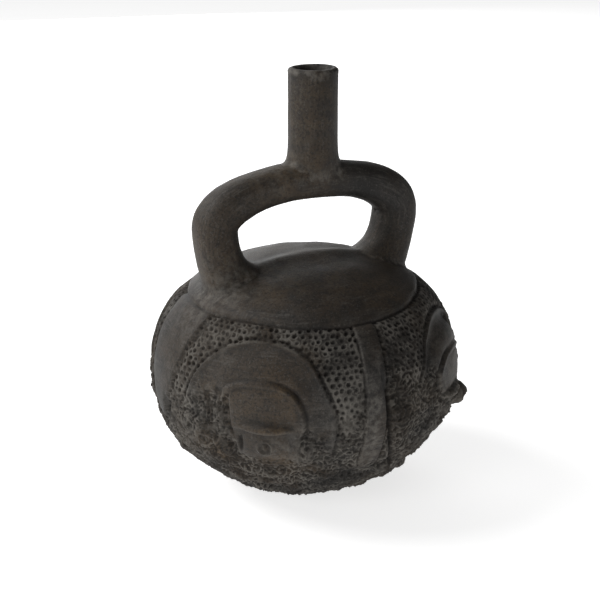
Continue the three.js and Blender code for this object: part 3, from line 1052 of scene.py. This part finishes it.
# %% Keep the marks on the mesh
_, smooth_share, worn_share = body_relief(final_places)
smooth_share = np.where(on_panels, smooth_share * (1 - worn_share), 1)
# Hollows are darkened in the finish as painted shade; ridges are made pale, partly as wear and partly as
# painted highlight.
ridge_mark = np.clip(fine_standing / (0.10 * MM), 0, 1)
hollow_shade_mark = np.clip(-fine_standing / (0.10 * MM), 0, 1)
joint_mark = joint_share(final_places)
add_marks(body.data, "relief_marks", ridge_mark, hollow_shade_mark, smooth_share)
add_marks(body.data, "place_marks", joint_mark, 0, 0)
add_marks(body.data, "stain_shade_and_light_marks", warm, painted_shade, light_and_worn_lip)
add_marks(body.data, "stroke_places", *strokes.T)
print("marks kept:", [marks.name for marks in body.data.color_attributes])

# %% [markdown]
# ## Lean and hand over
#
# Wet clay settles, so the finished vessel leans a little. The lean is one slanted move of
# all vertices. Rough crusts may stand a tenth of a millimetre past the solid's box, and they
# are pressed back to it, because other tools use that box as the vessel's size.

# %% Lean, trim and hand over
leaned = final_places.copy()
leaned[:, 0] += LEAN * (np.minimum(leaned[:, 2], ARCH_TOP_Z) - WIDEST_Z)
free_places = leaned
leaned = np.clip(free_places, list(cad_low), list(cad_high))
move_to(body.data, leaned)
for face in body.data.polygons:
    face.use_smooth = True
for helper in (stirrup, spout, cavity, passage, bore):
    bpy.data.objects.remove(helper)
body.data.name = "vessel_skin"
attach(body, "root")
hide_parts("vessel")
print("pressed back at most:", float(np.abs(leaned - free_places).max()))

# %% [markdown]
# ## Building finishes from nodes
#
# A finish is a small graph of nodes. These helpers add a node, link or set a socket, and
# make the two steps that the finishes use most: a soft threshold and a mix of two colours.

# %% Helpers for finishes
def add_node(tree, kind, values=None, **settings):
    """A node with its settings, and with plain values on some of its sockets."""
    node = tree.nodes.new(kind)
    for name, value in settings.items():
        setattr(node, name, value)
    for name, value in (values or {}).items():
        feed(tree, value, node.inputs[name])
    return node


def feed(tree, value, socket):
    """Links a socket to another node's output, or sets its plain value."""
    if isinstance(value, bpy.types.NodeSocket):
        tree.links.new(value, socket)
    else:
        socket.default_value = value


def threshold(tree, value, low, high):
    """0 below low and 1 above high, with a soft rise between."""
    node = add_node(
        tree, "ShaderNodeMapRange", {"Value": value, "From Min": low, "From Max": high},
        interpolation_type="SMOOTHSTEP",
    )
    return node.outputs["Result"]


def product(tree, *factors):
    result = factors[0]
    for factor in factors[1:]:
        node = add_node(tree, "ShaderNodeMath", operation="MULTIPLY", use_clamp=True)
        feed(tree, result, node.inputs[0])
        feed(tree, factor, node.inputs[1])
        result = node.outputs[0]
    return result


def inverse(tree, value):
    node = add_node(tree, "ShaderNodeMath", operation="SUBTRACT", use_clamp=True)
    node.inputs[0].default_value = 1
    feed(tree, value, node.inputs[1])
    return node.outputs[0]


def mixed(tree, share, first, second):
    """A colour part of the way from the first to the second."""
    node = add_node(tree, "ShaderNodeMix", data_type="RGBA")
    feed(tree, share, node.inputs[0])
    feed(tree, first, node.inputs[6])
    feed(tree, second, node.inputs[7])
    return node.outputs[2]


def new_group(name, inputs, outputs):
    """An empty shader node group with named inputs and outputs."""
    group = bpy.data.node_groups.new(name, "ShaderNodeTree")
    for socket_name, kind, value in inputs:
        socket = group.interface.new_socket(socket_name, in_out="INPUT", socket_type=kind)
        if value is not None:
            socket.default_value = value
    for socket_name, kind in outputs:
        group.interface.new_socket(socket_name, in_out="OUTPUT", socket_type=kind)
    return group, group.nodes.new("NodeGroupInput"), group.nodes.new("NodeGroupOutput")


def placed(tree, group, values):
    """Places a node group in a material with its own values."""
    node = tree.nodes.new("ShaderNodeGroup")
    node.node_tree = group
    for name, value in values.items():
        feed(tree, value, node.inputs[name])
    return node


print("helpers for finishes are ready")

# %% [markdown]
# ## Two effects that the finish uses
#
# Fired clay is never one colour: smoke clouds it in broad soft mottles, and its skin has a
# fine grain. Each effect is one node group, placed in the finish with different sizes and
# limits.

# %% Mottling and grain
mottling, group_in, group_out = new_group(
    "smoke_mottling",
    [("Vector", "NodeSocketVector", None), ("Scale", "NodeSocketFloat", 60.0),
     ("Low", "NodeSocketFloat", 0.4), ("High", "NodeSocketFloat", 0.6)],
    [("Share", "NodeSocketFloat")],
)
cloud = add_node(mottling, "ShaderNodeTexNoise", {
    "Vector": group_in.outputs["Vector"], "Scale": group_in.outputs["Scale"],
    "Detail": 5.0, "Roughness": 0.62,
})
share = threshold(
    mottling, cloud.outputs["Fac"], group_in.outputs["Low"], group_in.outputs["High"],
)
mottling.links.new(share, group_out.inputs["Share"])

grain, group_in, group_out = new_group(
    "fired_grain",
    [("Vector", "NodeSocketVector", None), ("Scale", "NodeSocketFloat", 1500.0)],
    [("Height", "NodeSocketFloat"), ("Speck", "NodeSocketFloat")],
)
fine = add_node(grain, "ShaderNodeTexNoise", {
    "Vector": group_in.outputs["Vector"], "Scale": group_in.outputs["Scale"],
    "Detail": 3.0, "Roughness": 0.6,
})
grain.links.new(fine.outputs["Fac"], group_out.inputs["Height"])
grain.links.new(threshold(grain, fine.outputs["Fac"], 0.56, 0.7), group_out.inputs["Speck"])
print("groups:", [group.name for group in bpy.data.node_groups])

# %% [markdown]
# ## The burnished blackware
#
# The outside is layered the way it came about. First the smoked body colour in two greys,
# then warmer brown clouds, then burnishing strokes. Over that lie painted shade in the pits,
# cuts and shaded sides, pale ridges of the net that are partly wear and partly painted
# highlight, painted light on the lit sides and bands, and dust in the joints and on the lip.

# %% Finish: colours and marks
DARK = (0.0125, 0.0112, 0.0100, 1)
MIDDLE = (0.034, 0.0305, 0.0270, 1)
LIGHT = (0.088, 0.082, 0.074, 1)
BROWN = (0.043, 0.031, 0.0205, 1)
OCHRE = (0.098, 0.066, 0.036, 1)
PALE = (0.185, 0.172, 0.152, 1)
# The colour of painted shade.
SHADE_COLOUR = (0.0065, 0.0062, 0.0058, 1)

blackware = bpy.data.materials.new("burnished_blackware")
blackware.use_nodes = True
tree = blackware.node_tree
tree.nodes.clear()
object_place = add_node(tree, "ShaderNodeTexCoord").outputs["Object"]


def marks_of(name):
    """The three marks kept in a colour attribute."""
    source = add_node(tree, "ShaderNodeAttribute", attribute_name=name)
    split = add_node(tree, "ShaderNodeSeparateColor", {"Color": source.outputs["Color"]})
    return [split.outputs[part] for part in ("Red", "Green", "Blue")]


ridge, hollow_shade, smooth = marks_of("relief_marks")
joint = marks_of("place_marks")[0]
warm_share, shade_share, light_and_worn_lip_share = marks_of("stain_shade_and_light_marks")
stroke_place = add_node(tree, "ShaderNodeAttribute", attribute_name="stroke_places")
print("marks read:", 7)

# %% Finish: smoke, brown clouds and strokes
def mottle(scale, low, high):
    values = {"Vector": object_place, "Scale": scale, "Low": low, "High": high}
    return placed(tree, mottling, values).outputs["Share"]


strokes_noise = add_node(tree, "ShaderNodeTexNoise", {
    "Vector": stroke_place.outputs["Vector"], "Scale": 700.0, "Detail": 5.0, "Roughness": 0.75,
})
stroke = strokes_noise.outputs["Fac"]
colour = mixed(tree, mottle(48.0, 0.36, 0.66), DARK, MIDDLE)
colour = mixed(tree, product(tree, mottle(30.0, 0.4, 0.6), 0.65), colour, BROWN)
light_strokes = product(tree, threshold(tree, stroke, 0.49, 0.66), mottle(70.0, 0.35, 0.6), 0.6)
colour = mixed(tree, light_strokes, colour, LIGHT)
dark_strokes = product(tree, threshold(tree, stroke, 0.48, 0.34), 0.75)
colour = mixed(tree, dark_strokes, colour, DARK)
colour = mixed(tree, product(tree, warm_share, mottle(110.0, 0.3, 0.65), 0.85), colour, OCHRE)
colour = mixed(tree, product(tree, mottle(800.0, 0.49, 0.62), 0.65), colour, DARK)
colour = mixed(tree, product(tree, mottle(1000.0, 0.53, 0.68), 0.45), colour, LIGHT)
print("smoke and strokes are linked")

# %% Finish: wear, painted shade, painted light and dust
grain_node = placed(tree, grain, {"Vector": object_place, "Scale": 1400.0})
grain_speck = grain_node.outputs["Speck"]
matt = inverse(tree, smooth)
# Pale ridges of the net: partly wear, partly painted highlight.
ridge_wear_and_highlight = product(tree, ridge, matt, mottle(90.0, 0.38, 0.62), 0.5)
colour = mixed(tree, ridge_wear_and_highlight, colour, PALE)
# Painted shade in the pits and hollows of the relief.
colour = mixed(tree, product(tree, hollow_shade, 0.45), colour, SHADE_COLOUR)
# Painted shade in the grooves and hollows and on the sides away from the lamps.
colour = mixed(tree, product(tree, shade_share, mottle(160.0, 0.25, 0.6), 0.75), colour, SHADE_COLOUR)
# Painted light on the lit sides and the bands, and the worn pale lip.
light_and_worn_lip_patch = product(tree, light_and_worn_lip_share, mottle(260.0, 0.38, 0.66), 0.55)
colour = mixed(tree, light_and_worn_lip_patch, colour, PALE)
joint_dust = product(tree, joint, mottle(300.0, 0.42, 0.7), 0.45)
colour = mixed(tree, joint_dust, colour, PALE)
colour = mixed(tree, product(tree, grain_speck, 0.3), colour, DARK)
print("wear and dust are linked")

# %% Finish: sheen and grain
shader = add_node(tree, "ShaderNodeBsdfPrincipled", {"Base Color": colour, "Specular IOR Level": 0.25})
rough = add_node(tree, "ShaderNodeMapRange", {
    "Value": product(tree, smooth, inverse(tree, light_and_worn_lip_patch)),
    "From Min": 0.0, "From Max": 1.0, "To Min": 0.88, "To Max": 0.6,
})
rough_strokes = add_node(tree, "ShaderNodeMath", operation="MULTIPLY_ADD")
feed(tree, stroke, rough_strokes.inputs[0])
feed(tree, 0.25, rough_strokes.inputs[1])
feed(tree, rough.outputs["Result"], rough_strokes.inputs[2])
lowered = add_node(tree, "ShaderNodeMath", operation="SUBTRACT", use_clamp=True)
feed(tree, rough_strokes.outputs[0], lowered.inputs[0])
feed(tree, 0.12, lowered.inputs[1])
feed(tree, lowered.outputs[0], shader.inputs["Roughness"])

stroke_bump = add_node(tree, "ShaderNodeBump", {
    "Height": stroke, "Strength": 0.35, "Distance": 0.0005,
})
grain_bump = add_node(tree, "ShaderNodeBump", {
    "Height": grain_node.outputs["Height"], "Strength": 0.5, "Distance": 0.0003,
    "Normal": stroke_bump.outputs["Normal"],
})
feed(tree, grain_bump.outputs["Normal"], shader.inputs["Normal"])
add_node(tree, "ShaderNodeOutputMaterial", {"Surface": shader.outputs["BSDF"]})
body.data.materials.clear()
body.data.materials.append(blackware)
print("the finish has", len(tree.nodes), "nodes")

# %% [markdown]
# ## Floor, light and camera
#
# A studio picture of a dark vessel needs a pale floor that doesn't turn grey, so the floor
# glows a little by itself. Large soft lamps behind and to the left make the shoulder bright
# and leave the front dark. A long lens from some distance keeps the tubes parallel.

# %% Floor
FLOOR_SIZE = 4
FLOOR_GLOW = 0.7
floor_bm = bmesh.new()
bmesh.ops.create_grid(floor_bm, x_segments=1, y_segments=1, size=FLOOR_SIZE)
floor = object_from(floor_bm, "studio_floor")
floor_paint = bpy.data.materials.new("pale_floor")
floor_paint.use_nodes = True
floor_shader = floor_paint.node_tree.nodes["Principled BSDF"]
floor_shader.inputs["Base Color"].default_value = (0.9, 0.9, 0.9, 1)
floor_shader.inputs["Roughness"].default_value = 0.9
floor_shader.inputs["Emission Color"].default_value = (1, 1, 1, 1)
floor_shader.inputs["Emission Strength"].default_value = FLOOR_GLOW
floor.data.materials.append(floor_paint)

# %% Light
world = bpy.data.worlds.new("studio")
world.use_nodes = True
world.node_tree.nodes["Background"].inputs["Color"].default_value = (1, 1, 1, 1)
world.node_tree.nodes["Background"].inputs["Strength"].default_value = 0.15
bpy.context.scene.world = world


def soft_box(name, place, target, size, power):
    light = bpy.data.lights.new(name, "AREA")
    light.shape = "DISK"
    light.size = size
    light.energy = power
    lamp = bpy.data.objects.new(name, light)
    bpy.context.scene.collection.objects.link(lamp)
    lamp.location = place
    lamp.rotation_euler = (Vector(target) - Vector(place)).to_track_quat("-Z", "Y").to_euler()
    return lamp


soft_box("top_light", (-1.1, 0.8, 1.3), (0, 0, 0.05), 1.2, 24)
soft_box("left_light", (-1.5, -0.6, 0.7), (0, 0, 0.1), 0.9, 6)
soft_box("back_light", (0.3, 1.9, 0.5), (0, 0, 0.1), 1.4, 14)

# %% Camera
VIEW_TURN = math.radians(-26.3)
VIEW_RISE = math.radians(18.75)
VIEW_DISTANCE = 0.6547
target = Vector((0, 0, 0.0925))
camera_data = bpy.data.cameras.new("camera")
camera_data.sensor_width = 36
camera_data.lens = 78.57
camera_data.shift_x = -0.0062
camera = bpy.data.objects.new("camera", camera_data)
bpy.context.scene.collection.objects.link(camera)
camera.location = target + VIEW_DISTANCE * Vector((
    math.sin(VIEW_TURN) * math.cos(VIEW_RISE),
    -math.cos(VIEW_TURN) * math.cos(VIEW_RISE),
    math.sin(VIEW_RISE),
))
camera.rotation_euler = (target - camera.location).to_track_quat("-Z", "Y").to_euler()
bpy.context.scene.camera = camera
bpy.context.scene.view_settings.view_transform = "Standard"
